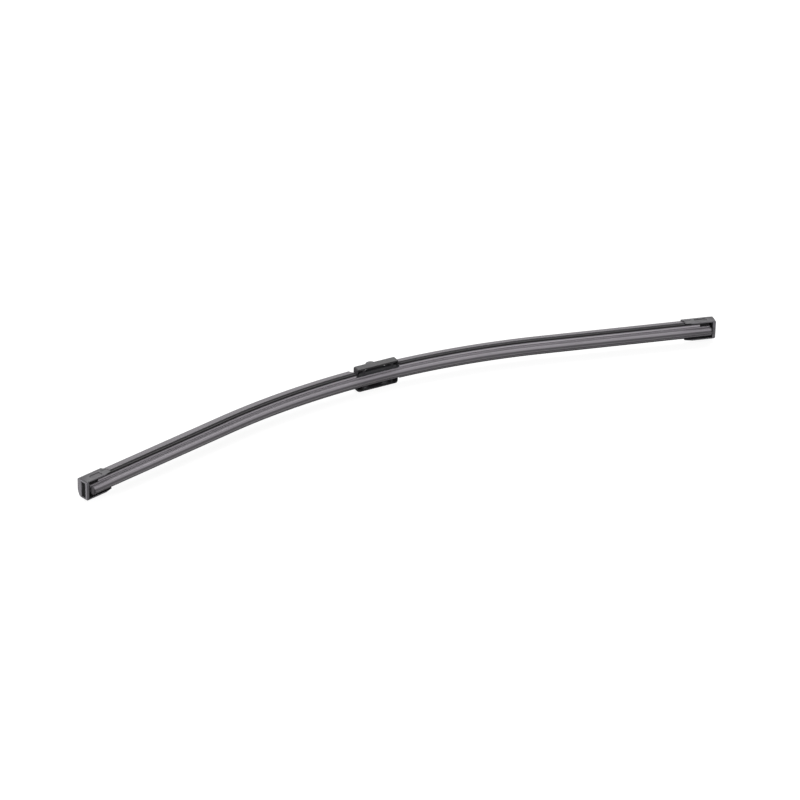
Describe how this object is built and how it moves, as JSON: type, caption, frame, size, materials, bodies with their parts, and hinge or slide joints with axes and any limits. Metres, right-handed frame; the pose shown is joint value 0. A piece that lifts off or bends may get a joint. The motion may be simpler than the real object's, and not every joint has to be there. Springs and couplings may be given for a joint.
{
  "type": "wiper blade",
  "caption": "Flat windscreen wiper blade with a curved spoiler, wiping rubber, end caps and a centre connector with a pivot pin.",
  "frame": {"origin": "centre of the bounding box's footprint, at the lowest face, with the blade lying on its side", "axes": "+X along the chord between the tips, +Y away from the glass towards the connector, +Z across the width of the blade"},
  "size_m": [0.541, 0.0746, 0.0194],
  "materials": {
    "wiping_rubber": "graphite-coated",
    "spoiler_rubber": "matte",
    "cap_plastic": "fine grain",
    "cover_plastic": "fine grain",
    "rail_steel": "black-coated spring steel",
    "bracket_steel": "satin black",
    "pin_steel": "black-coated, satin"
  },
  "bodies": {
    "root": {"wiping_rubber": "wiping_rubber", "spring_rail_upper": "rail_steel", "spring_rail_lower": "rail_steel", "spoiler_left": "spoiler_rubber", "spoiler_right": "spoiler_rubber", "end_cap_left": "cap_plastic", "end_cap_right": "cap_plastic", "rail_bracket": "bracket_steel", "pivot_pin": "pin_steel", "connector_cover": "cover_plastic"}
  },
  "joints": []
}
